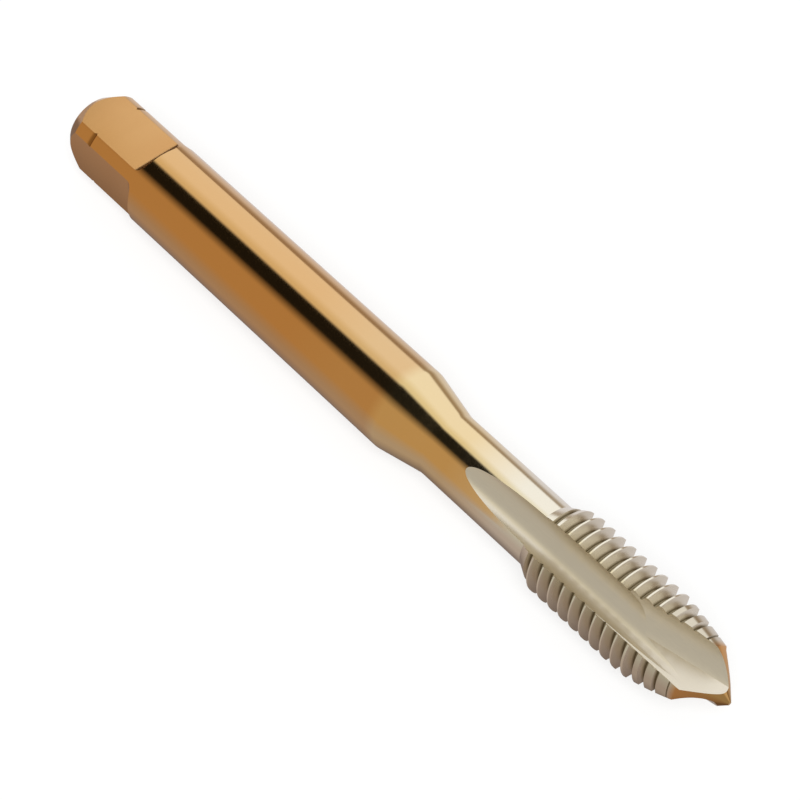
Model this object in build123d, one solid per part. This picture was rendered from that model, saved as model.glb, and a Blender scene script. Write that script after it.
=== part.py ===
"""Spiral point machine tap, M10 x 1.5, with a reinforced straight shank and a square drive.

The tap lies along X with its point at +X and one flat of its square facing straight up.
The origin is under the middle of the tap, on the surface that the tap lies on, and +Z is up.
The thread section is the ground blank at the thread's major diameter: its bevel, lead
chamfer, flutes and spiral points are cut to true form, and the fine helical thread is left out.
"""
import os
from math import cos, radians, sin, tan

from build123d import *

# ---- Driving dimensions, in millimetres and degrees ----------------------------------------
OVERALL_LENGTH = 100.0         # drive face to the tip of the male centre
SHANK_DIAMETER = 10.0          # h9 shank
THREAD_DIAMETER = 10.08        # major diameter of the thread, with the cutting allowance

# Drive end: places are measured from its flat face.
SQUARE_ACROSS_FLATS = 7.9      # 8 mm h12 square
SQUARE_CORNER_RELIEF = 0.1     # the corners are turned this far under the shank
SQUARE_FLAT_LENGTH = 11.1      # drive face to where the flats begin to run out
SQUARE_RUNOUT_RADIUS = 1.2     # corner of the cutter that mills the flats
CORNER_STEP_START = 11.3       # bevel from the square's corners up to the shank
CORNER_STEP_LENGTH = 0.8
DRIVE_FACE_DIAMETER = 7.0      # flat left on the truncated cone that centres the drive end
DRIVE_CONE_LENGTH = 1.9
CORNER_RING_PLACE = 4.4        # shallow ring turned round the square's corners
CORNER_RING_WIDTH = 0.4
CORNER_RING_DEPTH = 0.12

# Cutting end: places are measured back from the tip of the male centre.
REACH_LENGTH = 46.9            # tip to the end of the shank
NECK_TAPER_HALF_ANGLE = 11.7
NECK_DIAMETER = 7.6
THREAD_LENGTH = 25.8           # tip to the foot of the bevel at the back of the thread
THREAD_BACK_ANGLE = 28.0
CHAMFER_LENGTH = 6.2           # lead chamfer, about four pitches
CHAMFER_END_DIAMETER = 7.8
POINT_LENGTH = 4.0             # male centre on the point
POINT_TIP_DIAMETER = 0.4

# Flutes: sideways is from a flute's middle towards its cutting edge, height is over the axis.
FLUTES = 3
FLUTE_ANGLE = 32.3             # middle of the first flute, turned from +Z towards -Y
CORE_DIAMETER = 4.1            # web between the flute floors
FLUTE_FLOOR_RADIUS = 1.95      # round floor of the flute
FLUTE_SIDE_SHIFT = -0.06       # sideways place of the floor's middle
CUTTING_FACE_LEAN = 9.4        # the cutting face leans out from the flute's middle plane
FLUTE_LENGTH = 22.0            # tip to where the floor begins to climb towards the neck
WHEEL_RADIUS = 55.0            # grinding wheel that leaves the run-out in the neck

# Spiral points: a slanting grind in each flute, laid out on one section.
GUN_LENGTH = 17.0              # tip to that section
GUN_SIDE = -1.57               # sideways place of the grind's valley on it
GUN_HEIGHT = 3.38              # and its height
GUN_SLANT = 9.6                # the grind crosses the flute towards the cutting face
GUN_DIVE = 10.9                # and dives towards the axis
GUN_FACE_RADIUS = 2.5          # hollow ground cutting face of the spiral point
GUN_FACE_TILT = 17.3           # where that hollow starts, turned down from level
GUN_FLOOR_TILT = 39.3          # rise of the flat side of the valley towards the heel
GUN_HEEL_SIDE = -2.0           # the grind stops in line with the flute's heel wall

# ---- Worked out ------------------------------------------------------------------------------
shank_r = SHANK_DIAMETER / 2
thread_r = THREAD_DIAMETER / 2
corner_r = shank_r - SQUARE_CORNER_RELIEF
neck_r = NECK_DIAMETER / 2
half_flat = SQUARE_ACROSS_FLATS / 2
core_r = CORE_DIAMETER / 2
shank_end = OVERALL_LENGTH - REACH_LENGTH
neck_start = shank_end + (shank_r - neck_r) / tan(radians(NECK_TAPER_HALF_ANGLE))
thread_back = OVERALL_LENGTH - THREAD_LENGTH
thread_full = thread_back + (thread_r - neck_r) / tan(radians(THREAD_BACK_ANGLE))
point_base = OVERALL_LENGTH - POINT_LENGTH
chamfer_start = point_base - CHAMFER_LENGTH
flute_end = OVERALL_LENGTH - FLUTE_LENGTH
gun_section = OVERALL_LENGTH - GUN_LENGTH
clearance = 3.0                            # the cutters pass this far beyond the tap
clear_r = max(shank_r, thread_r) + clearance
clear_x = OVERALL_LENGTH + clearance
runout_sweep = 30.0                        # turn of the wheel, past where it leaves the neck


def blank():
    """The turned blank: drive cone, corner relief, shank, neck, thread section and point."""
    outline = [
        (0, 0),
        (0, DRIVE_FACE_DIAMETER / 2),
        (DRIVE_CONE_LENGTH, corner_r),
        (CORNER_RING_PLACE - CORNER_RING_WIDTH / 2, corner_r),
        (CORNER_RING_PLACE, corner_r - CORNER_RING_DEPTH),
        (CORNER_RING_PLACE + CORNER_RING_WIDTH / 2, corner_r),
        (CORNER_STEP_START, corner_r),
        (CORNER_STEP_START + CORNER_STEP_LENGTH, shank_r),
        (shank_end, shank_r),
        (neck_start, neck_r),
        (thread_back, neck_r),
        (thread_full, thread_r),
        (chamfer_start, thread_r),
        (point_base, CHAMFER_END_DIAMETER / 2),
        (OVERALL_LENGTH, POINT_TIP_DIAMETER / 2),
        (OVERALL_LENGTH, 0),
    ]
    face = make_face(Polyline(*outline, close=True).edges())
    return revolve(face, Axis.X)


def square_cutter():
    """Space over one flat of the square, with the round run-out of the milling cutter."""
    runout_x = SQUARE_FLAT_LENGTH + SQUARE_RUNOUT_RADIUS * sin(radians(45))
    runout_z = half_flat + SQUARE_RUNOUT_RADIUS * (1 - cos(radians(45)))
    start = (SQUARE_FLAT_LENGTH, half_flat)
    end = (SQUARE_FLAT_LENGTH + SQUARE_RUNOUT_RADIUS, half_flat + SQUARE_RUNOUT_RADIUS)
    edges = [
        Line((-clearance, half_flat), start),
        ThreePointArc(start, (runout_x, runout_z), end),
        Line(end, (end[0], clear_r)),
        Line((end[0], clear_r), (-clearance, clear_r)),
        Line((-clearance, clear_r), (-clearance, half_flat)),
    ]
    side_view = Plane(origin=(0, 0, 0), x_dir=(1, 0, 0), z_dir=(0, -1, 0))
    return extrude(side_view * make_face(edges), amount=clear_r, both=True)


def cross_section(x, edges):
    """Face across the tap at x, drawn as seen from its drive end: sideways, then height."""
    return Plane(origin=(x, 0, 0), x_dir=(0, 1, 0), z_dir=(1, 0, 0)) * make_face(edges)


def flute_cutter():
    """Straight flute, run out into the neck by the round of the grinding wheel."""
    centre = (FLUTE_SIDE_SHIFT, core_r + FLUTE_FLOOR_RADIUS)
    lean = radians(CUTTING_FACE_LEAN)
    heel = (centre[0] - FLUTE_FLOOR_RADIUS, centre[1])
    cutting = (
        centre[0] + FLUTE_FLOOR_RADIUS * cos(lean),
        centre[1] - FLUTE_FLOOR_RADIUS * sin(lean),
    )
    cutting_top = (cutting[0] + (clear_r - cutting[1]) * tan(lean), clear_r)
    heel_top = (heel[0], clear_r)
    section = cross_section(flute_end, [
        Line(heel_top, heel),
        ThreePointArc(heel, (centre[0], core_r), cutting),
        Line(cutting, cutting_top),
        Line(cutting_top, heel_top),
    ])
    straight = extrude(section, amount=clear_x - flute_end)
    wheel_axis = Axis((flute_end, 0, core_r + WHEEL_RADIUS), (0, 1, 0))
    return straight + revolve(section, wheel_axis, runout_sweep)


def gun_cutter():
    """Spiral point grind: a valley that crosses the flute on a slant and dives to the axis."""
    open_side = 3 * clear_r
    tilt = radians(GUN_FACE_TILT)
    middle = -(radians(90) + tilt) / 2
    floor = radians(GUN_FLOOR_TILT)
    valley = (GUN_SIDE, GUN_HEIGHT)
    centre = (GUN_SIDE + GUN_FACE_RADIUS * sin(tilt), GUN_HEIGHT + GUN_FACE_RADIUS * cos(tilt))
    hollow = (centre[0] + GUN_FACE_RADIUS * cos(middle), centre[1] + GUN_FACE_RADIUS * sin(middle))
    face_top = (centre[0] + GUN_FACE_RADIUS, centre[1])
    heel = (GUN_SIDE - open_side * cos(floor), GUN_HEIGHT + open_side * sin(floor))
    section = cross_section(gun_section, [
        Line(heel, valley),
        ThreePointArc(valley, hollow, face_top),
        Line(face_top, (face_top[0], open_side)),
        Line((face_top[0], open_side), (heel[0], open_side)),
        Line((heel[0], open_side), heel),
    ])
    run = clear_x - gun_section
    path = Vector(run, run * tan(radians(GUN_SLANT)), -run * tan(radians(GUN_DIVE)))
    grind = extrude(section, amount=path.length, dir=path)
    cutting_side = Pos(0, GUN_HEEL_SIDE, 0) * Box(
        2 * clear_x, open_side, 2 * open_side, align=(Align.CENTER, Align.MIN, Align.CENTER)
    )
    return grind & cutting_side


def tap():
    """The whole tap in one piece, with its axis on X and its drive face at x = 0."""
    body = blank()
    for turn in range(4):
        body -= Rot(X=90 * turn) * square_cutter()
    flute = flute_cutter()
    gun = gun_cutter()
    for number in range(FLUTES):
        turn = Rot(X=FLUTE_ANGLE + number * 360 / FLUTES)
        body -= turn * flute
        body -= turn * gun
    return body


lying = Pos(-OVERALL_LENGTH / 2, 0, max(shank_r, thread_r)) * tap()
os.makedirs("parts", exist_ok=True)
export_step(lying.solids()[0], "parts/tap.step")
print("solids", len(lying.solids()), "volume", round(lying.volume, 1), "mm3")
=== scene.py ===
"""Spiral point machine tap: its ground thread, flutes and finishes, and a plain studio round it.

The tap is built along X from the flat face of its drive end, with heights measured from its
axis, and is then moved to where it lies. Sizes are in metres and angles in radians.
"""
from math import acos, atan2, cos, pi, radians, sin, tan

import bmesh
import bpy
from bpy.props import FloatProperty, FloatVectorProperty, IntProperty, PointerProperty
from mathutils import Matrix, Vector


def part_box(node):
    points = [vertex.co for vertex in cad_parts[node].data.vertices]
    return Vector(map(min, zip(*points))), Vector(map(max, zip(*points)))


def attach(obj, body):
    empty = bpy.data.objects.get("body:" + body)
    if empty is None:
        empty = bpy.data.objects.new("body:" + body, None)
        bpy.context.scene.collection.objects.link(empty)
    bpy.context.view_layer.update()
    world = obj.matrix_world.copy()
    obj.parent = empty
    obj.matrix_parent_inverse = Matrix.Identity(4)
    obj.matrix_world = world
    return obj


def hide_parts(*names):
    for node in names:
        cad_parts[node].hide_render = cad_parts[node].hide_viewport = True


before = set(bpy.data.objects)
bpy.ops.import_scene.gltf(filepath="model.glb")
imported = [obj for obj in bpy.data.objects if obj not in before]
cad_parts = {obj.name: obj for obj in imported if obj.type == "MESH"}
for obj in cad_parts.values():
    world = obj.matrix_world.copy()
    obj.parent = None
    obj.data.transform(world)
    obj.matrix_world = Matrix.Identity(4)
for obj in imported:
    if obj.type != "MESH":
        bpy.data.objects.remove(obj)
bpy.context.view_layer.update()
TAP_LOW, TAP_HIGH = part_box("tap")

bl_info = {
    "name": "Spiral point tap",
    "version": (1, 0, 0),
    "blender": (4, 5, 0),
    "location": "3D View > Sidebar > Tap",
    "description": "Builds a spiral point machine tap and a studio to show it in",
    "category": "Add Mesh",
}

MM = 0.001
AXIS_HEIGHT = -TAP_LOW.y       # the thread's crests touch the surface that the tap lies on
CLEARANCE = 3.0 * MM           # the cutters pass this far beyond the tap
POINT_REACH = 3                # the point's cutter reaches this many times as far as the rest
GROOVE_PROUD = 0.12 * MM       # the groove's cutter stands this far out of the crests
SPARE_TURNS = 2                # turns of the groove past both ends of the thread, together
CREASE = radians(8.0)          # a sharper turn than this between two facets is an edge

# How rough each finish is.
SHANK_ROUGHNESS = 0.13
FLAT_ROUGHNESS = 0.26
FLUTE_ROUGHNESS = 0.31
POINT_ROUGHNESS = 0.34
THREAD_ROUGHNESS = 0.3

# Width and length of the marks that the wheels and the milling cutter leave. The real ones are a
# few hundredths of a millimetre wide: they are drawn as coarse as they need to be to show.
SHANK_MARKS = (0.25 * MM, 8.0 * MM)
FLAT_MARKS = (0.5 * MM, 8.0 * MM)
FLUTE_MARKS = (0.15 * MM, 8.0 * MM)
THREAD_MARKS = (0.15 * MM, 6.0 * MM)
MARK_DEPTH = 0.1               # depth of a mark, as a part of its width
MARK_SHADE = 0.9               # colour of a flute's darkest marks, as a part of the steel's
NOISE_SPAN = (0.3, 0.7)        # values that noise seldom leaves
QUARTER_TURN = 0.25            # turn that draws reflections out across the tap
PAINTED_ROOT_SHADE = 0.3 * MM           # how far up the flanks the roots get painted shade

FLOOR_SIZE = 3.0               # side of the board, in metres
FLOOR_GAP = 0.02 * MM          # the board lies this far under the tap
TENT_STEPS = 48                # facets round the light tent
CARD_GAP = -0.01 * MM          # the tent's floor lies between the tap and the board
SOFT_END = 3.5 * MM            # length over which the flag gives way to the grey card
SENSOR_WIDTH = 36.0            # the camera's sensor, in millimetres
CAMERA_RANGE = (0.01, 10.0)    # nearest and farthest that the camera sees, in metres

# Sockets of a Mix node that mixes colours.
COLOUR_A, COLOUR_B, COLOUR_OUT = 6, 7, 2

# Cards of the light tent: the settings that hold their tones beside the shank and beside the
# point, and the angles between which the tone is even, in degrees from straight up towards the
# front.
TENT_CARDS = (
    ("board_behind", "board_behind", -180, -98),
    ("gap", "gap", -82, -75),
    ("softbox", "softbox", -69, -25),
    ("softbox_edge", "softbox_edge", -9, -4),
    ("flag", "grey_card", 2, 28),
    ("bronze_card", "grey_card", 47, 92),
    ("board_in_front", "board_in_front", 113, 120),
    ("shade", "shade", 141, 180),
)


# ---- Kinds of setting ---------------------------------------------------------------------------
def length(name, description, millimetres):
    """A size that is given in millimetres and held in metres."""
    return FloatProperty(
        name=name, description=description, default=millimetres * MM, unit="LENGTH", precision=5
    )


def angle(name, description, degrees):
    """An angle that is given in degrees and held in radians."""
    return FloatProperty(
        name=name, description=description, default=radians(degrees), unit="ROTATION"
    )


def position(name, description, millimetres):
    """A place in space that is given in millimetres and held in metres."""
    return FloatVectorProperty(
        name=name, description=description, default=[v * MM for v in millimetres], unit="LENGTH"
    )


def number(name, description, value):
    """A plain number."""
    return FloatProperty(name=name, description=description, default=value, precision=3)


def count(name, description, value):
    """A whole number."""
    return IntProperty(name=name, description=description, default=value, min=1)


def linear(hex_colour):
    """Linear red, green and blue of an sRGB hex colour."""
    levels = [int(hex_colour[i : i + 2], 16) / 255 for i in (1, 3, 5)]
    return tuple(v / 12.92 if v <= 0.04045 else ((v + 0.055) / 1.055) ** 2.4 for v in levels)


def colour(name, description, hex_colour):
    """A colour that is given as an sRGB hex value."""
    return FloatVectorProperty(
        name=name, description=description, default=linear(hex_colour), subtype="COLOR"
    )


# ---- Settings -----------------------------------------------------------------------------------
class BlankSizes(bpy.types.PropertyGroup):
    """Turned blank, before the square, the thread and the flutes are cut."""

    overall: length("Overall length", "Drive face to tip", (TAP_HIGH.x - TAP_LOW.x) / MM)
    shank: length("Shank diameter", "Ground shank", 10.0)
    corner_relief: length("Corner relief", "Square's corners under the shank", 0.1)
    corner_step: length("Corner step", "Drive face to the shank's bevel", 11.3)
    corner_bevel: length("Corner bevel", "Length of the shank's bevel", 0.8)
    drive_face: length("Drive face", "Diameter of the flat drive face", 7.0)
    drive_cone: length("Drive cone", "Length of the cone on the drive end", 1.9)
    ring_place: length("Ring place", "Drive face to the ring on the corners", 4.4)
    ring_width: length("Ring width", "Width of the ring on the corners", 0.4)
    ring_depth: length("Ring depth", "Depth of the ring on the corners", 0.12)
    reach: length("Reach", "Tip to the end of the shank", 46.9)
    taper: angle("Neck taper", "Half-angle of the neck's taper", 11.7)
    blend: length("Blend radius", "Round at each end of the neck's taper", 3.0)
    neck: length("Neck diameter", "Ground neck", 7.6)
    point: length("Point length", "Male centre on the point", 4.0)
    tip: length("Tip diameter", "Flat on the tip of the male centre", 0.4)
    blend_steps: count("Blend steps", "Facets of each of those rounds", 6)
    steps: count("Steps round", "Facets round the blank", 288)


class SquareSizes(bpy.types.PropertyGroup):
    """Square that drives the tap."""

    across: length("Across flats", "Width over two flats", 7.9)
    flat: length("Flat length", "Drive face to where the flats run out", 11.1)
    runout: length("Run-out radius", "Corner of the cutter that mills the flats", 1.2)
    sides: count("Sides", "Flats on the square", 4)
    steps: count("Steps", "Facets of a flat's run-out", 24)


class ThreadSizes(bpy.types.PropertyGroup):
    """Right-hand thread with a lead chamfer."""

    major: length("Major diameter", "Over the crests", 10.08)
    pitch: length("Pitch", "From crest to crest", 1.5)
    crest: length("Crest width", "Flat on each crest", 0.18)
    root: length("Root width", "Flat in each root", 0.12)
    flank: angle("Flank angle", "Lean of each flank", 30.0)
    back: length("Thread length", "Tip to the foot of the bevel behind the thread", 25.8)
    back_angle: angle("Back angle", "Lean of the bevel behind the thread", 28.0)
    chamfer: length("Chamfer length", "Lead chamfer", 6.2)
    chamfer_end: length("Chamfer end", "Diameter at the end of the chamfer", 7.8)
    crest_place: length("Crest place", "Tip to the middle of a crest on the tap's top", 13.24)
    steps: count("Steps per turn", "Facets in one turn of the groove", 96)


class FluteSizes(bpy.types.PropertyGroup):
    """Straight flutes, each with a grinding wheel's run-out into the neck."""

    number: count("Flutes", "Number of flutes", 3)
    first: angle("First flute", "From straight up towards the front", 32.3)
    core: length("Core diameter", "Web between the flutes", 4.1)
    floor: length("Floor radius", "Round floor of a flute", 1.95)
    shift: length("Side shift", "Floor's middle off the flute's middle", -0.06)
    lean: angle("Face lean", "Lean of the cutting face", 9.4)
    straight: length("Flute length", "Tip to where the floor begins to climb", 22.0)
    wheel: length("Wheel radius", "Grinding wheel of the run-out", 55.0)
    runout: angle("Run-out", "Turn of the wheel, past where it leaves the neck", 30.0)
    steps: count("Steps", "Facets of the floor and of the run-out", 48)


class SpiralPointSizes(bpy.types.PropertyGroup):
    """Slanting grind at the cutting end of each flute, laid out on one section."""

    section: length("Section", "Tip to the section that the grind is laid out on", 17.0)
    side: length("Valley side", "Valley off the flute's middle there", -1.57)
    height: length("Valley height", "Valley over the axis there", 3.38)
    slant: angle("Slant", "Turn across the flute towards the cutting face", 9.6)
    dive: angle("Dive", "Turn towards the axis", 10.9)
    face: length("Face radius", "Hollow ground cutting face", 2.5)
    face_tilt: angle("Face tilt", "Where the hollow starts, down from level", 17.3)
    floor_tilt: angle("Floor tilt", "Rise of the valley's flat side", 39.3)
    heel: length("Heel side", "Where the grind stops, off the flute's middle", -2.0)
    steps: count("Steps", "Facets of the hollow face", 32)


class FinishSettings(bpy.types.PropertyGroup):
    """Colours of the coating and of the bare steel, and where they change."""

    coating: colour("Coating", "Gold-bronze coating on the drive end", "#E1B680")
    shank_coating: colour("Middle coating", "Coating on the middle of the shank", "#E2BE8D")
    pale_coating: colour("Thin coating", "Coating where it thins at the neck's taper", "#EED6A8")
    flat_coating: colour("Flat coating", "Coating on the milled flats", "#DDAF76")
    warm_coating: colour("Warm coating", "Warmer patches of it", "#D4A168")
    patch: length("Patch", "Size of those patches", 6.0)
    # Ring: a real groove, with a darker tone painted into it as painted shade.
    ring: colour("Ring", "Ring turned round the square's corners", "#9A7648")
    point_coating: colour("Point coating", "Coating on the male centre", "#D8A264")
    tip_coating: colour("Tip coating", "Coating on the tip of the male centre", "#B48E58")
    steel: colour("Bright steel", "Ground high-speed steel", "#F2EBDA")
    flute_steel: colour("Flute steel", "Ground flutes", "#F0E8D8")
    thread_steel: colour("Thread steel", "Ground thread", "#DED6C5")
    # Root tone: painted shade, darker where the thread's roots lie in shadow.
    root_painted_shade: colour("Root steel", "Roots of the thread, which the wheel leaves dull", "#8E8268")
    chamfer_steel: colour("Chamfer steel", "Relief-ground lead chamfer", "#D9D0BD")
    middle_start: length("Middle start", "Shank's end back to where the middle tone begins", 15.0)
    middle_full: length("Middle full", "Shank's end back to where it is reached", 6.0)
    thin_start: length("Thin start", "Shank's end back to where the coating begins to thin", 1.4)
    bare_start: length("Bare start", "Shank's end on to where bare steel begins", 9.0)
    bare_full: length("Bare full", "Thread back to where it is reached", 4.0)
    chamfer_fade: length("Chamfer fade", "Bright steel turns to the chamfer's over this", 1.0)
    point_fade: length("Point fade", "The chamfer's steel turns to the coating over this", 0.6)


class StudioSettings(bpy.types.PropertyGroup):
    """Camera, floor, backdrop, lamp and light tent."""

    azimuth: angle("Azimuth", "Camera round the tap", 49.23)
    elevation: angle("Elevation", "Camera over the floor", 51.99)
    distance: length("Distance", "Camera to the tap", 318.0)
    lens: number("Lens", "Focal length, in millimetres", 138.98)
    aim: length("Aim", "Where the camera looks, along the tap from its middle", 2.0)
    right: length("Right", "Camera to the right of its aim", -0.218)
    up: length("Up", "Camera above its aim", 0.436)
    floor: colour("Floor", "Matt white of the floor", "#F8F8F7")
    backdrop: colour("Backdrop", "Backdrop, and the glow of the floor", "#FFFFFF")
    floor_glow: number("Floor glow", "Part of the floor's white that no shadow dims", 0.7)
    world_light: number("World light", "Light that the backdrop gives matt surfaces", 0.5)
    key_power: number("Key power", "Soft lamp over the camera, in watts per square metre", 2.8)
    key_size: angle("Key size", "Width of the lamp, seen from the tap", 38.0)
    key_place: position("Key place", "Where the lamp stands", (900.0, -800.0, 1600.0))
    tent_radius: length("Tent radius", "Light tent round the tap", 26.0)
    tent_start: length("Tent start", "Drive end of the light tent", -70.0)
    tent_end: length("Tent end", "Point end of the light tent", 90.0)
    flag_end: length("Flag end", "Where the flag and the bronze card give way to the grey", 10.2)
    board_behind: colour("Board behind", "Pale board behind the tap", "#DEDADC")
    gap: colour("Gap", "Dim gap between that board and the softbox", "#A69684")
    softbox: colour("Softbox", "White softbox over the tap and behind it", "#FFFFFF")
    softbox_edge: colour("Softbox edge", "Near edge of it, where it is less bright", "#EFE8D0")
    flag: colour("Flag", "Black flag over the shank", "#201E1A")
    bronze_card: colour("Bronze card", "Card in front of the shank", "#C2A276")
    grey_card: colour("Grey card", "Card over the point and in front of it", "#C1BDB3")
    board_in_front: colour("Board in front", "Dim board in front of the tap", "#B5A79F")
    # Shade: painted shadow of the tap, a darker patch of the tent's floor under it that mirrors
    # see.
    shade: colour("Shade", "That board under the tap", "#867872")
    dark_end: colour("Dark end card", "Card beyond the drive end", "#433320")
    dark_end_foot: colour("Dark end foot", "Lower part of it, up to the tap's axis", "#B9ADAA")
    point_end: colour("Point end card", "Card beyond the point", "#C8C5BC")


GROUPS = {
    "blank": BlankSizes,
    "square": SquareSizes,
    "thread": ThreadSizes,
    "flutes": FluteSizes,
    "points": SpiralPointSizes,
    "finish": FinishSettings,
    "studio": StudioSettings,
}


# ---- Nodes --------------------------------------------------------------------------------------
def add_node(tree, kind, inputs=None, **settings):
    """One node. Inputs go by name or number and are values or other nodes' outputs."""
    node = tree.nodes.new(kind)
    for key, value in settings.items():
        setattr(node, key, value)
    for key, value in (inputs or {}).items():
        if isinstance(value, bpy.types.NodeSocket):
            tree.links.new(value, node.inputs[key])
        else:
            node.inputs[key].default_value = value
    return node


def geometry_tree(name, inputs):
    """A Geometry Nodes tree with one output and these named inputs, and the inputs' sockets."""
    tree = bpy.data.node_groups.new(name, "GeometryNodeTree")
    tree.interface.new_socket("Geometry", in_out="OUTPUT", socket_type="NodeSocketGeometry")
    for label, kind in inputs.items():
        tree.interface.new_socket(label, in_out="INPUT", socket_type=f"NodeSocket{kind}")
    return tree, add_node(tree, "NodeGroupInput").outputs


def end_tree(tree, geometry, material):
    """Ends a tree in real geometry with its material."""
    real = add_node(tree, "GeometryNodeRealizeInstances", {"Geometry": geometry})
    painted = add_node(
        tree, "GeometryNodeSetMaterial", {"Geometry": real.outputs[0], "Material": material}
    )
    add_node(tree, "NodeGroupOutput", {"Geometry": painted.outputs[0]})


def run_tree(name, tree, values):
    """Plain mesh object that a tree makes from these values of its inputs."""
    made = mesh_object(name, bpy.data.meshes.new(name))
    modifier = made.modifiers.new(name, "NODES")
    modifier.node_group = tree
    for item in tree.interface.items_tree:
        if item.in_out == "INPUT":
            modifier[item.identifier] = values[item.name]
    return plain_copy(made)


def groove_tree():
    """Helical groove along X: a trapezoid, wide side out, carried round a spiral."""
    tree, given = geometry_tree("helical_groove", {
        "Middle Radius": "Float", "Depth": "Float", "Root Width": "Float",
        "Mouth Width": "Float", "Length": "Float", "Turns": "Float", "Steps": "Int",
        "Start": "Float", "Material": "Material",
    })
    spiral = add_node(tree, "GeometryNodeCurveSpiral", {
        "Resolution": given["Steps"], "Rotations": given["Turns"],
        "Start Radius": given["Middle Radius"], "End Radius": given["Middle Radius"],
        "Height": given["Length"], "Reverse": True,
    })
    level = add_node(
        tree, "GeometryNodeSetCurveNormal", {"Curve": spiral.outputs[0]}, mode="Z_UP"
    )
    profile = add_node(tree, "GeometryNodeCurvePrimitiveQuadrilateral", {
        "Height": given["Depth"], "Bottom Width": given["Mouth Width"],
        "Top Width": given["Root Width"], "Offset": 0.0,
    }, mode="TRAPEZOID")
    upright = add_node(
        tree, "GeometryNodeTransform", {"Geometry": profile.outputs[0], "Rotation": (0, 0, pi / 2)}
    )
    groove = add_node(tree, "GeometryNodeCurveToMesh", {
        "Curve": level.outputs[0], "Profile Curve": upright.outputs[0], "Fill Caps": True,
    })
    start = add_node(tree, "ShaderNodeCombineXYZ", {"X": given["Start"]})
    laid = add_node(tree, "GeometryNodeTransform", {
        "Geometry": groove.outputs[0], "Rotation": (0, pi / 2, 0),
        "Translation": start.outputs[0],
    })
    end_tree(tree, laid.outputs[0], given["Material"])
    return tree


def round_axis_tree():
    """Copies of one cutter, turned evenly round the X axis."""
    tree, given = geometry_tree("cutters_round_the_axis", {
        "Cutter": "Object", "Copies": "Int", "First": "Float", "Step": "Float",
        "Material": "Material",
    })
    cutter = add_node(tree, "GeometryNodeObjectInfo", {"Object": given["Cutter"]})
    points = add_node(tree, "GeometryNodePoints", {"Count": given["Copies"]})
    index = add_node(tree, "GeometryNodeInputIndex")
    turns = add_node(tree, "ShaderNodeMath", {
        0: index.outputs[0], 1: given["Step"], 2: given["First"],
    }, operation="MULTIPLY_ADD")
    rotation = add_node(tree, "ShaderNodeCombineXYZ", {"X": turns.outputs[0]})
    copies = add_node(tree, "GeometryNodeInstanceOnPoints", {
        "Points": points.outputs[0], "Instance": cutter.outputs["Geometry"],
        "Rotation": rotation.outputs[0],
    })
    end_tree(tree, copies.outputs[0], given["Material"])
    return tree


# ---- Mesh ---------------------------------------------------------------------------------------
def mesh_object(name, mesh):
    """A new object in the scene that holds mesh."""
    made = bpy.data.objects.new(name, mesh)
    bpy.context.scene.collection.objects.link(made)
    return made


def plain_copy(made):
    """Plain mesh object of what made's modifiers give. It takes made's place and name."""
    name = made.name
    evaluated = made.evaluated_get(bpy.context.evaluated_depsgraph_get())
    mesh = bpy.data.meshes.new_from_object(evaluated)
    bpy.data.objects.remove(made)
    return mesh_object(name, mesh)


def solid_through(name, rings, material):
    """Closed mesh through rings of equally many points, capped at both ends."""
    bm = bmesh.new()
    loops = [[bm.verts.new(point) for point in ring] for ring in rings]
    for near, far in zip(loops, loops[1:]):
        for i, vertex in enumerate(near):
            bm.faces.new((near[i - 1], vertex, far[i], far[i - 1]))
    bm.faces.new(loops[0])
    bm.faces.new(loops[-1])
    bmesh.ops.recalc_face_normals(bm, faces=bm.faces)
    mesh = bpy.data.meshes.new(name)
    bm.to_mesh(mesh)
    bm.free()
    mesh.materials.append(material)
    return mesh_object(name, mesh)


def arc(centre, radius, start, end, steps):
    """Points of an arc in a plane, from one angle to another."""
    turns = [start + (end - start) * i / steps for i in range(steps + 1)]
    return [(centre[0] + radius * cos(t), centre[1] + radius * sin(t)) for t in turns]


def blended(before, corner, after, radius, steps):
    """Points of a round that meets both sides of a corner of an outline."""
    corner, before, after = Vector(corner), Vector(before), Vector(after)
    back, on = (before - corner).normalized(), (after - corner).normalized()
    half = back.angle(on) / 2
    centre = corner + (back + on).normalized() * radius / sin(half)
    first = corner + back * radius / tan(half) - centre
    last = corner + on * radius / tan(half) - centre
    start, end = atan2(first.y, first.x), atan2(last.y, last.x)
    return arc(centre, radius, start, end, steps)


def cut_away(body, cutters):
    """What is left of body when each cutter is taken from it."""
    for cutter in cutters:
        cut = body.modifiers.new(cutter.name, "BOOLEAN")
        cut.operation = "DIFFERENCE"
        cut.solver = "MANIFOLD"
        cut.material_mode = "TRANSFER"
        cut.object = cutter
    left = plain_copy(body)
    for cutter in cutters:
        bpy.data.objects.remove(cutter)
    return left


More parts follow.
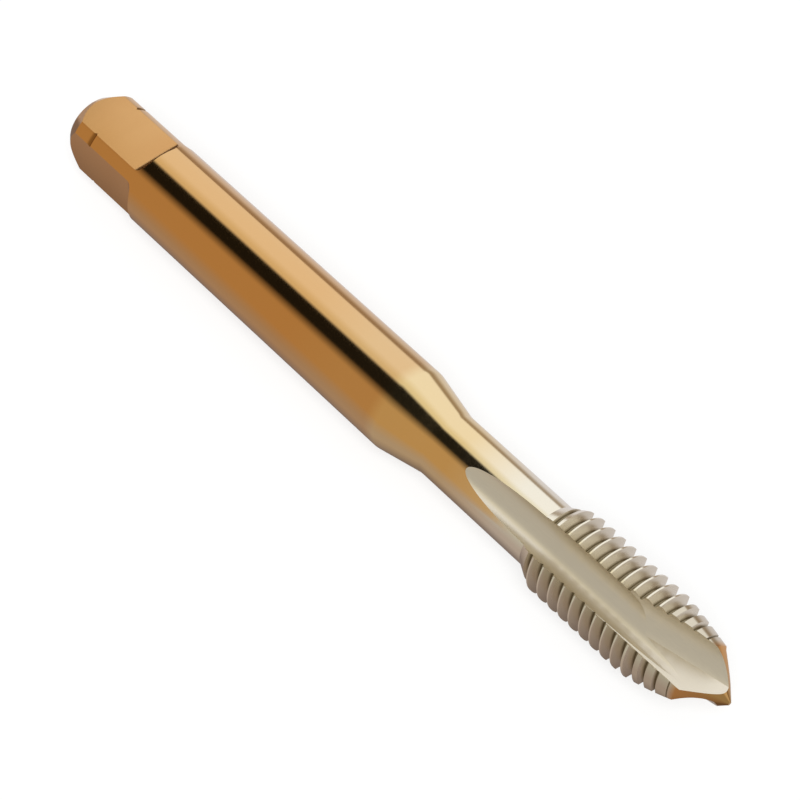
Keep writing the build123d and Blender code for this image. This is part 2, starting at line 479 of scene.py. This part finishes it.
# ---- The tap's forms ----------------------------------------------------------------------------
def turned_blank(tap, material):
    """Drive cone, corners, shank, neck, thread section and male centre, turned in one piece."""
    blank, thread = tap.blank, tap.thread
    shank, neck, major = blank.shank / 2, blank.neck / 2, thread.major / 2
    corner = shank - blank.corner_relief
    shank_end = blank.overall - blank.reach
    thread_back = blank.overall - thread.back
    chamfer_end = blank.overall - blank.point
    half_ring = blank.ring_width / 2
    taper_top = (shank_end, shank)
    taper_foot = (shank_end + (shank - neck) / tan(blank.taper), neck)
    outline = [
        (0, blank.drive_face / 2),
        (blank.drive_cone, corner),
        (blank.ring_place - half_ring, corner),
        (blank.ring_place, corner - blank.ring_depth),
        (blank.ring_place + half_ring, corner),
        (blank.corner_step, corner),
        (blank.corner_step + blank.corner_bevel, shank),
        *blended((0, shank), taper_top, taper_foot, blank.blend, blank.blend_steps),
        *blended(taper_top, taper_foot, (thread_back, neck), blank.blend, blank.blend_steps),
        (thread_back, neck),
        (thread_back + (major - neck) / tan(thread.back_angle), major),
        (chamfer_end - thread.chamfer, major),
        (chamfer_end, thread.chamfer_end / 2),
        (blank.overall, blank.tip / 2),
    ]
    turns = [2 * pi * i / blank.steps for i in range(blank.steps)]
    rings = [[(x, r * cos(t), r * sin(t)) for t in turns] for x, r in outline]
    return solid_through("turned_blank", rings, material)


def flat_cutter(tap, material):
    """Space over one flat of the square, with the milling cutter's round run-out."""
    square = tap.square
    low, high = square.across / 2, tap.blank.shank / 2 + CLEARANCE
    curve = arc((square.flat, low + square.runout), square.runout, -pi / 2, 0, square.steps)
    outline = [(-CLEARANCE, high), (-CLEARANCE, low), *curve, (square.flat + square.runout, high)]
    rings = [[(x, side, z) for x, z in outline] for side in (-high, high)]
    return solid_through("flat_cutter", rings, material)


def flute_cutter(tap, material):
    """Straight flute whose floor leaves the tap on the round of the grinding wheel."""
    blank, flutes = tap.blank, tap.flutes
    core, high = flutes.core / 2, blank.shank / 2 + CLEARANCE
    middle = (flutes.shift, core + flutes.floor)
    floor = arc(middle, flutes.floor, -pi, -flutes.lean, flutes.steps)
    edge_top = floor[-1][0] + (high - floor[-1][1]) * tan(flutes.lean)
    section = [(floor[0][0], high), *floor, (edge_top, high)]
    climb = blank.overall - flutes.straight
    centre = core + flutes.wheel
    rings = []
    for i in range(flutes.steps, -1, -1):
        turn = flutes.runout * i / flutes.steps
        rings.append([
            (climb - (centre - z) * sin(turn), y, centre - (centre - z) * cos(turn))
            for y, z in section
        ])
    rings.append([(blank.overall + CLEARANCE, y, z) for y, z in section])
    return solid_through("flute_cutter", rings, material)


def point_cutter(tap, material):
    """Spiral point's grind: a valley that crosses the flute and dives towards the axis."""
    points = tap.points
    reach = POINT_REACH * (tap.blank.shank / 2 + CLEARANCE)
    centre = (
        points.side + points.face * sin(points.face_tilt),
        points.height + points.face * cos(points.face_tilt),
    )
    hollow = arc(centre, points.face, -pi / 2 - points.face_tilt, 0, points.steps)
    heel_side = points.side - reach * cos(points.floor_tilt)
    heel_height = points.height + reach * sin(points.floor_tilt)
    section = [*hollow, (hollow[-1][0], reach), (heel_side, reach), (heel_side, heel_height)]
    start = tap.blank.overall - points.section
    run = points.section + CLEARANCE
    rings = [
        [(start + x, y + x * tan(points.slant), z - x * tan(points.dive)) for y, z in section]
        for x in (0, run)
    ]
    grind = solid_through("point_cutter", rings, material)
    bm = bmesh.new()
    bm.from_mesh(grind.data)
    kept = bmesh.ops.bisect_plane(
        bm, geom=[*bm.verts, *bm.edges, *bm.faces], plane_co=(0, points.heel, 0),
        plane_no=(0, -1, 0), clear_outer=True,
    )
    cut_edges = [e for e in kept["geom_cut"] if isinstance(e, bmesh.types.BMEdge)]
    bmesh.ops.contextual_create(bm, geom=cut_edges)
    bmesh.ops.recalc_face_normals(bm, faces=bm.faces)
    bm.to_mesh(grind.data)
    bm.free()
    return grind


def groove_depth(thread):
    """Depth of the groove that leaves the crest and root flats of this thread."""
    return (thread.pitch - thread.crest - thread.root) / (2 * tan(thread.flank))


def thread_groove(tap, material):
    """The thread's groove, from behind its bevel to past its lead chamfer."""
    blank, thread = tap.blank, tap.thread
    depth = groove_depth(thread)
    root = thread.major / 2 - depth
    turns = round((thread.back - blank.point) / thread.pitch) + SPARE_TURNS
    run = turns * thread.pitch
    crest_x = blank.overall - thread.crest_place
    middle_crest = round(turns / 2) * thread.pitch
    return run_tree("thread_groove", groove_tree(), {
        "Middle Radius": root + (depth + GROOVE_PROUD) / 2,
        "Depth": depth + GROOVE_PROUD,
        "Root Width": thread.root,
        "Mouth Width": thread.root + 2 * (depth + GROOVE_PROUD) * tan(thread.flank),
        "Length": run, "Turns": float(turns), "Steps": thread.steps,
        "Start": crest_x - middle_crest,
        "Material": material,
    })


def round_axis(cutter, tree, copies, first, material):
    """One mesh of a cutter's copies round the axis. The single cutter goes."""
    made = run_tree(cutter.name + "s", tree, {
        "Cutter": cutter, "Copies": copies, "First": first, "Step": 2 * pi / copies,
        "Material": material,
    })
    bpy.data.objects.remove(cutter)
    return made


# ---- Finishes -----------------------------------------------------------------------------------
def new_metal(name, roughness, stretch, turn=0.0):
    """Metal whose reflections are drawn out along X, or across it after a quarter turn."""
    material = bpy.data.materials.new(name)
    material.use_nodes = True
    tree = material.node_tree
    shader = tree.nodes["Principled BSDF"]
    shader.inputs["Metallic"].default_value = 1.0
    shader.inputs["Roughness"].default_value = roughness
    shader.inputs["Anisotropic"].default_value = stretch
    shader.inputs["Anisotropic Rotation"].default_value = turn
    lay = add_node(tree, "ShaderNodeCombineXYZ", {"X": 1.0})
    tree.links.new(lay.outputs[0], shader.inputs["Tangent"])
    return material, tree, shader


def bare_material(name):
    """A material with an empty tree, and the tree."""
    material = bpy.data.materials.new(name)
    material.use_nodes = True
    material.node_tree.nodes.clear()
    return material, material.node_tree


def opaque(tone):
    """Red, green and blue of a tone, with full cover."""
    return (*tone, 1.0)


def object_axes(tree):
    """X, Y and Z in the frame that the whole scene shares, in metres."""
    place = add_node(tree, "ShaderNodeTexCoord")
    return add_node(tree, "ShaderNodeSeparateXYZ", {0: place.outputs["Object"]}).outputs


def tap_place(tree):
    """Place on the tap: X from its drive face, Y and Z from its axis, in metres."""
    place = add_node(tree, "ShaderNodeTexCoord")
    centred = add_node(tree, "ShaderNodeMapping", {
        "Vector": place.outputs["Object"],
        "Location": (-TAP_LOW.x, 0, -AXIS_HEIGHT),
    })
    return centred.outputs[0]


def set_stops(color_ramp, stops):
    """Give a colour ramp these stops, each a place from 0 to 1 and a tone."""
    elements = color_ramp.elements
    elements.remove(elements[0])
    for i, (stop, tone) in enumerate(stops):
        element = elements[0] if i == 0 else elements.new(stop)
        element.position = stop
        element.color = opaque(tone)


def grinding_marks(tree, shader, place, spacing, roughness, strength, spread):
    """Fine marks, with their period along X, Y and Z in metres.

    They tilt the surface by their strength and spread its roughness both ways.
    """
    stretched = add_node(tree, "ShaderNodeMapping", {
        "Vector": place, "Scale": tuple(1 / s for s in spacing),
    })
    marks = add_node(tree, "ShaderNodeTexNoise", {
        "Vector": stretched.outputs[0], "Scale": 1.0, "Detail": 3.0, "Roughness": 0.6,
    })
    bump = add_node(tree, "ShaderNodeBump", {
        "Height": marks.outputs[0], "Strength": strength, "Distance": min(spacing) * MARK_DEPTH,
    })
    tree.links.new(bump.outputs[0], shader.inputs["Normal"])
    rough = add_node(tree, "ShaderNodeMapRange", {
        "Value": marks.outputs[0], "From Min": NOISE_SPAN[0], "From Max": NOISE_SPAN[1],
        "To Min": roughness - spread, "To Max": roughness + spread,
    })
    tree.links.new(rough.outputs[0], shader.inputs["Roughness"])
    return marks.outputs[0]


def coated_shank(tap):
    """Cylindrically ground steel under a thin gold-bronze coating that fades on the neck.

    The grind runs round the tap, so reflections stay sharp across it: the eye sees bright and
    dark bands along the shank, tinted gold.
    """
    blank, thread, finish = tap.blank, tap.thread, tap.finish
    material, tree, shader = new_metal("coated_ground_steel", SHANK_ROUGHNESS, stretch=0.5)
    place = tap_place(tree)
    axes = add_node(tree, "ShaderNodeSeparateXYZ", {0: place})
    along = add_node(
        tree, "ShaderNodeMath", {0: axes.outputs["X"], 1: blank.overall}, operation="DIVIDE"
    )
    ring, half_ring = blank.ring_place, blank.ring_width / 2
    shank_end = blank.overall - blank.reach
    thread_back = blank.overall - thread.back
    point_base = blank.overall - blank.point
    chamfer = point_base - thread.chamfer
    # Places along the tap between which the colour changes evenly.
    changes = [
        # The ring is a real groove; its darker tone is painted shade in it.
        (ring - half_ring, finish.coating),
        (ring - half_ring / 2, finish.ring),
        (ring + half_ring / 2, finish.ring),
        (ring + half_ring, finish.coating),
        (shank_end - finish.middle_start, finish.coating),
        (shank_end - finish.middle_full, finish.shank_coating),
        (shank_end - finish.thin_start, finish.shank_coating),
        (shank_end, finish.pale_coating),
        (shank_end + finish.bare_start, finish.pale_coating),
        (thread_back - finish.bare_full, finish.steel),
        (chamfer, finish.steel),
        (chamfer + finish.chamfer_fade, finish.chamfer_steel),
        (point_base - finish.point_fade, finish.chamfer_steel),
        (point_base, finish.point_coating),
        (blank.overall, finish.tip_coating),
    ]
    fade = add_node(tree, "ShaderNodeValToRGB", {"Fac": along.outputs[0]})
    set_stops(fade.color_ramp, [(x / blank.overall, tone) for x, tone in changes])
    tree.links.new(fade.outputs["Color"], shader.inputs["Base Color"])
    width, run = SHANK_MARKS
    spacing = (width, run, run)
    grinding_marks(tree, shader, place, spacing, SHANK_ROUGHNESS, strength=0.06, spread=0.02)
    return material


def coated_flat(tap):
    """Milled flat under the same coating: satin, a little warmer in patches."""
    finish = tap.finish
    material, tree, shader = new_metal("coated_milled_steel", FLAT_ROUGHNESS, stretch=0.3)
    place = tap_place(tree)
    width, run = FLAT_MARKS
    spacing = (width, run, run)
    grinding_marks(tree, shader, place, spacing, FLAT_ROUGHNESS, strength=0.03, spread=0.01)
    patches = add_node(tree, "ShaderNodeTexNoise", {
        "Vector": place, "Scale": 1 / finish.patch, "Detail": 1.0,
    })
    tint = add_node(tree, "ShaderNodeMix", {
        0: patches.outputs[0], COLOUR_A: opaque(finish.flat_coating),
        COLOUR_B: opaque(finish.warm_coating),
    }, data_type="RGBA")
    tree.links.new(tint.outputs[COLOUR_OUT], shader.inputs["Base Color"])
    return material


def ground_flute(tap, name, roughness):
    """Bare high-speed steel whose lengthways grinding marks blur reflections across them.

    The eye sees a soft silver sheen that shifts slowly along the flute.
    """
    material, tree, shader = new_metal(name, roughness, stretch=0.5, turn=QUARTER_TURN)
    place = tap_place(tree)
    width, run = FLUTE_MARKS
    spacing = (run, width, width)
    marks = grinding_marks(tree, shader, place, spacing, roughness, strength=0.1, spread=0.03)
    steel = tap.finish.flute_steel
    darker = [v * MARK_SHADE for v in steel]
    tint = add_node(tree, "ShaderNodeMix", {
        0: marks, COLOUR_A: opaque(darker), COLOUR_B: opaque(steel),
    }, data_type="RGBA")
    tree.links.new(tint.outputs[COLOUR_OUT], shader.inputs["Base Color"])
    return material


def ground_thread(tap):
    """Bare steel of the thread's flanks, ground round the axis, with painted shade in the roots.

    The eye sees bright flanks between dark roots.
    """
    finish = tap.finish
    material, tree, shader = new_metal("ground_thread_steel", THREAD_ROUGHNESS, stretch=0.3)
    place = tap_place(tree)
    width, run = THREAD_MARKS
    spacing = (width, run, run)
    grinding_marks(tree, shader, place, spacing, THREAD_ROUGHNESS, strength=0.1, spread=0.04)
    across = add_node(tree, "ShaderNodeVectorMath", {0: place, 1: (0, 1, 1)}, operation="MULTIPLY")
    radius = add_node(tree, "ShaderNodeVectorMath", {0: across.outputs[0]}, operation="LENGTH")
    root = tap.thread.major / 2 - groove_depth(tap.thread)
    height = add_node(tree, "ShaderNodeMapRange", {
        "Value": radius.outputs["Value"], "From Min": root, "From Max": root + PAINTED_ROOT_SHADE,
    })
    # Painted shade: the base colour darkens from the flanks down into the roots.
    tint = add_node(tree, "ShaderNodeMix", {
        0: height.outputs[0], COLOUR_A: opaque(finish.root_painted_shade),
        COLOUR_B: opaque(finish.thread_steel),
    }, data_type="RGBA")
    tree.links.new(tint.outputs[COLOUR_OUT], shader.inputs["Base Color"])
    return material


# ---- Stage --------------------------------------------------------------------------------------
def end_in_glow(tree, tint):
    """Ends a material's tree in a glow of this tint, which is a node's colour."""
    glow = add_node(tree, "ShaderNodeEmission", {"Color": tint})
    add_node(tree, "ShaderNodeOutputMaterial", {"Surface": glow.outputs[0]})


def end_glow(name, foot_tone, tone):
    """Glow of an end card: one tone up to the tap's axis, another from the tap's top up."""
    material, tree = bare_material(name)
    height = add_node(tree, "ShaderNodeMapRange", {
        "Value": object_axes(tree)["Z"], "From Min": AXIS_HEIGHT, "From Max": 2 * AXIS_HEIGHT,
    })
    tint = add_node(tree, "ShaderNodeMix", {
        0: height.outputs[0], COLOUR_A: opaque(foot_tone), COLOUR_B: opaque(tone),
    }, data_type="RGBA")
    end_in_glow(tree, tint.outputs[COLOUR_OUT])
    return material


def tent_glow(studio):
    """Glow of the light tent: its cards round the tap, soft where one gives way to the next."""
    material, tree = bare_material("light_tent")
    axes = object_axes(tree)
    front = add_node(tree, "ShaderNodeMath", {0: axes["Y"], 1: -1.0}, operation="MULTIPLY")
    height = add_node(
        tree, "ShaderNodeMath", {0: axes["Z"], 1: AXIS_HEIGHT}, operation="SUBTRACT"
    )
    around = add_node(
        tree, "ShaderNodeMath", {0: front.outputs[0], 1: height.outputs[0]}, operation="ARCTAN2"
    )
    turn = add_node(tree, "ShaderNodeMapRange", {
        "Value": around.outputs[0], "From Min": -pi, "From Max": pi,
    })
    by_shank, by_point = [], []
    for shank_card, point_card, start, end in TENT_CARDS:
        for degrees in (start, end):
            by_shank.append(((degrees + 180) / 360, getattr(studio, shank_card)))
            by_point.append(((degrees + 180) / 360, getattr(studio, point_card)))
    sides = []
    for stops in (by_shank, by_point):
        side = add_node(tree, "ShaderNodeValToRGB", {"Fac": turn.outputs[0]})
        set_stops(side.color_ramp, stops)
        sides.append(side.outputs["Color"])
    change = add_node(tree, "ShaderNodeMapRange", {
        "Value": axes["X"],
        "From Min": studio.flag_end - SOFT_END / 2, "From Max": studio.flag_end + SOFT_END / 2,
    }, interpolation_type="SMOOTHSTEP")
    tint = add_node(tree, "ShaderNodeMix", {
        0: change.outputs[0], COLOUR_A: sides[0], COLOUR_B: sides[1],
    }, data_type="RGBA")
    end_in_glow(tree, tint.outputs[COLOUR_OUT])
    return material


def reflected_card(name, points, faces, material):
    """A stage card that mirrors see, and that neither lights nor shades anything."""
    mesh = bpy.data.meshes.new(name)
    mesh.from_pydata(points, [], faces)
    mesh.materials.append(material)
    card = mesh_object(name, mesh)
    card.visible_camera = False
    card.visible_diffuse = False
    card.visible_shadow = False
    card.visible_transmission = False
    card.visible_volume_scatter = False


def build_tent(studio):
    """Light tent round the tap, closed below and at both ends."""
    glow = tent_glow(studio)
    radius, span = studio.tent_radius, (studio.tent_start, studio.tent_end)
    foot = pi - acos((AXIS_HEIGHT - CARD_GAP) / radius)
    turns = [-foot + 2 * foot * i / TENT_STEPS for i in range(TENT_STEPS + 1)]
    ring = [(-radius * sin(t), AXIS_HEIGHT + radius * cos(t)) for t in turns]
    points = [(x, y, z) for y, z in ring for x in span]
    faces = [(2 * i, 2 * i + 1, 2 * i + 3, 2 * i + 2) for i in range(TENT_STEPS)]
    reflected_card("light_tent", points, faces, glow)
    # The tent's floor, which mirrors see in place of the white board, carries the dim board in
    # front and the painted shadow under the tap.
    (back, _), (front, _) = ring[0], ring[-1]
    corners = [(x, y, CARD_GAP) for x, y in zip(2 * span, (front, front, back, back))]
    reflected_card("tent_floor", corners, [(0, 1, 3, 2)], glow)
    dark = end_glow("dark_end_card", studio.dark_end_foot, studio.dark_end)
    light = end_glow("point_end_card", studio.point_end, studio.point_end)
    for x, material in zip(span, (dark, light)):
        end = [(x, y, z) for y, z in ring]
        reflected_card(material.name, end, [tuple(range(len(end)))], material)


def seen_directly(tree):
    """1 for rays from the camera, a mirror or glass, and 0 for rays that only carry light."""
    rays = add_node(tree, "ShaderNodeLightPath")
    seen = rays.outputs["Is Camera Ray"]
    for kind in ("Is Glossy Ray", "Is Transmission Ray"):
        either = add_node(
            tree, "ShaderNodeMath", {0: seen, 1: rays.outputs[kind]}, operation="MAXIMUM"
        )
        seen = either.outputs[0]
    return seen


def build_floor(studio):
    """Matt white board under the tap: no shine, and the tap's shadow at part of its strength."""
    half = FLOOR_SIZE / 2
    mesh = bpy.data.meshes.new("floor")
    corners = [(-half, -half), (half, -half), (half, half), (-half, half)]
    mesh.from_pydata([(x, y, -FLOOR_GAP) for x, y in corners], [], [(0, 1, 2, 3)])
    material, tree = bare_material("matt_white_board")
    matt = add_node(tree, "ShaderNodeBsdfDiffuse", {"Color": opaque(studio.floor)})
    glow = add_node(tree, "ShaderNodeEmission", {"Color": opaque(studio.backdrop)})
    share = add_node(
        tree, "ShaderNodeMath", {0: seen_directly(tree), 1: studio.floor_glow},
        operation="MULTIPLY",
    )
    board = add_node(
        tree, "ShaderNodeMixShader", {0: share.outputs[0], 1: matt.outputs[0], 2: glow.outputs[0]}
    )
    add_node(tree, "ShaderNodeOutputMaterial", {"Surface": board.outputs[0]})
    mesh.materials.append(material)
    mesh_object("floor", mesh)


def build_world(studio):
    """White backdrop, which lights the scene less than it shows."""
    world = bpy.data.worlds.new("studio_world")
    bpy.context.scene.world = world
    world.use_nodes = True
    tree = world.node_tree
    tree.nodes.clear()
    strength = add_node(tree, "ShaderNodeMapRange", {
        "Value": seen_directly(tree), "To Min": studio.world_light, "To Max": 1.0,
    })
    sky = add_node(tree, "ShaderNodeBackground", {
        "Color": opaque(studio.backdrop), "Strength": strength.outputs[0],
    })
    add_node(tree, "ShaderNodeOutputWorld", {"Surface": sky.outputs[0]})


def build_lamp(studio):
    """Large soft lamp over the camera, which gives the tap its faint shadow on an even floor."""
    light = bpy.data.lights.new("key_lamp", "SUN")
    light.angle = studio.key_size
    light.energy = studio.key_power
    lamp = bpy.data.objects.new("key_lamp", light)
    bpy.context.scene.collection.objects.link(lamp)
    lamp.location = studio.key_place
    lamp.rotation_mode = "QUATERNION"
    lamp.rotation_quaternion = lamp.location.to_track_quat("Z", "Y")
    lamp.visible_glossy = False


def build_camera(studio):
    """Camera that looks down on the tap from its cutting end."""
    a, e = studio.azimuth, studio.elevation
    back = Vector((sin(a) * cos(e), -cos(a) * cos(e), sin(e)))
    right = Vector((cos(a), sin(a), 0))
    up = back.cross(right)
    data = bpy.data.cameras.new("camera")
    data.sensor_width = SENSOR_WIDTH
    data.lens = studio.lens
    data.clip_start, data.clip_end = CAMERA_RANGE
    camera = bpy.data.objects.new("camera", data)
    scene = bpy.context.scene
    scene.collection.objects.link(camera)
    aim = Vector((studio.aim, 0, AXIS_HEIGHT))
    camera.location = aim + back * studio.distance + right * studio.right + up * studio.up
    camera.rotation_mode = "QUATERNION"
    camera.rotation_quaternion = Matrix((right, up, back)).transposed().to_quaternion()
    scene.camera = camera
    scene.view_settings.view_transform = "Standard"


# ---- Operators ----------------------------------------------------------------------------------
class BuildTap(bpy.types.Operator):
    """Turn, mill, thread, flute and coat the tap"""

    bl_idname = "tap.build_tap"
    bl_label = "Build the tap"

    def execute(self, context):
        tap = context.scene.tap
        many, first = tap.flutes.number, tap.flutes.first
        coat = coated_shank(tap)
        flat = coated_flat(tap)
        flute = ground_flute(tap, "ground_flute_steel", FLUTE_ROUGHNESS)
        point = ground_flute(tap, "ground_point_steel", POINT_ROUGHNESS)
        thread = ground_thread(tap)
        copies = round_axis_tree()
        body = turned_blank(tap, coat)
        groove = thread_groove(tap, thread)
        flats = round_axis(flat_cutter(tap, flat), copies, tap.square.sides, 0.0, flat)
        flutes = round_axis(flute_cutter(tap, flute), copies, many, first, flute)
        points = round_axis(point_cutter(tap, point), copies, many, first, point)
        body = cut_away(body, [groove, flats, flutes, points])
        body.name = "finished_tap"
        body.data.transform(Matrix.Translation((TAP_LOW.x, 0, AXIS_HEIGHT)))
        body.data.shade_smooth()
        body.data.set_sharp_from_angle(angle=CREASE)
        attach(body, "root")
        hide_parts("tap")
        return {"FINISHED"}


class BuildStudio(bpy.types.Operator):
    """Set the floor, the backdrop, the lamp, the light tent and the camera"""

    bl_idname = "tap.build_studio"
    bl_label = "Build the studio"

    def execute(self, context):
        studio = context.scene.tap.studio
        for step in (build_floor, build_world, build_lamp, build_tent, build_camera):
            step(studio)
        return {"FINISHED"}


# ---- Panel and registration ---------------------------------------------------------------------
class TapPanel(bpy.types.Panel):
    """Settings and steps of the tap, in the 3D view's sidebar"""

    bl_idname = "VIEW3D_PT_spiral_point_tap"
    bl_label = "Spiral point tap"
    bl_space_type = "VIEW_3D"
    bl_region_type = "UI"
    bl_category = "Tap"

    def draw(self, context):
        for name, group in GROUPS.items():
            box = self.layout.box()
            box.label(text=group.__doc__)
            for key in group.__annotations__:
                box.prop(getattr(context.scene.tap, name), key)
        for operator in OPERATORS:
            self.layout.operator(operator.bl_idname)


class TapSettings(bpy.types.PropertyGroup):
    """All settings of the tap and its studio."""

    __annotations__ = {name: PointerProperty(type=group) for name, group in GROUPS.items()}


OPERATORS = (BuildTap, BuildStudio)
CLASSES = (*GROUPS.values(), TapSettings, *OPERATORS, TapPanel)


def register():
    """Make the settings, the steps and the panel known."""
    for made in CLASSES:
        bpy.utils.register_class(made)
    bpy.types.Scene.tap = PointerProperty(type=TapSettings)


def unregister():
    """Take them out again."""
    del bpy.types.Scene.tap
    for made in reversed(CLASSES):
        bpy.utils.unregister_class(made)


def main():
    """Build the tap and its studio."""
    register()
    bpy.ops.tap.build_tap()
    bpy.ops.tap.build_studio()


if __name__ == "__main__":
    main()
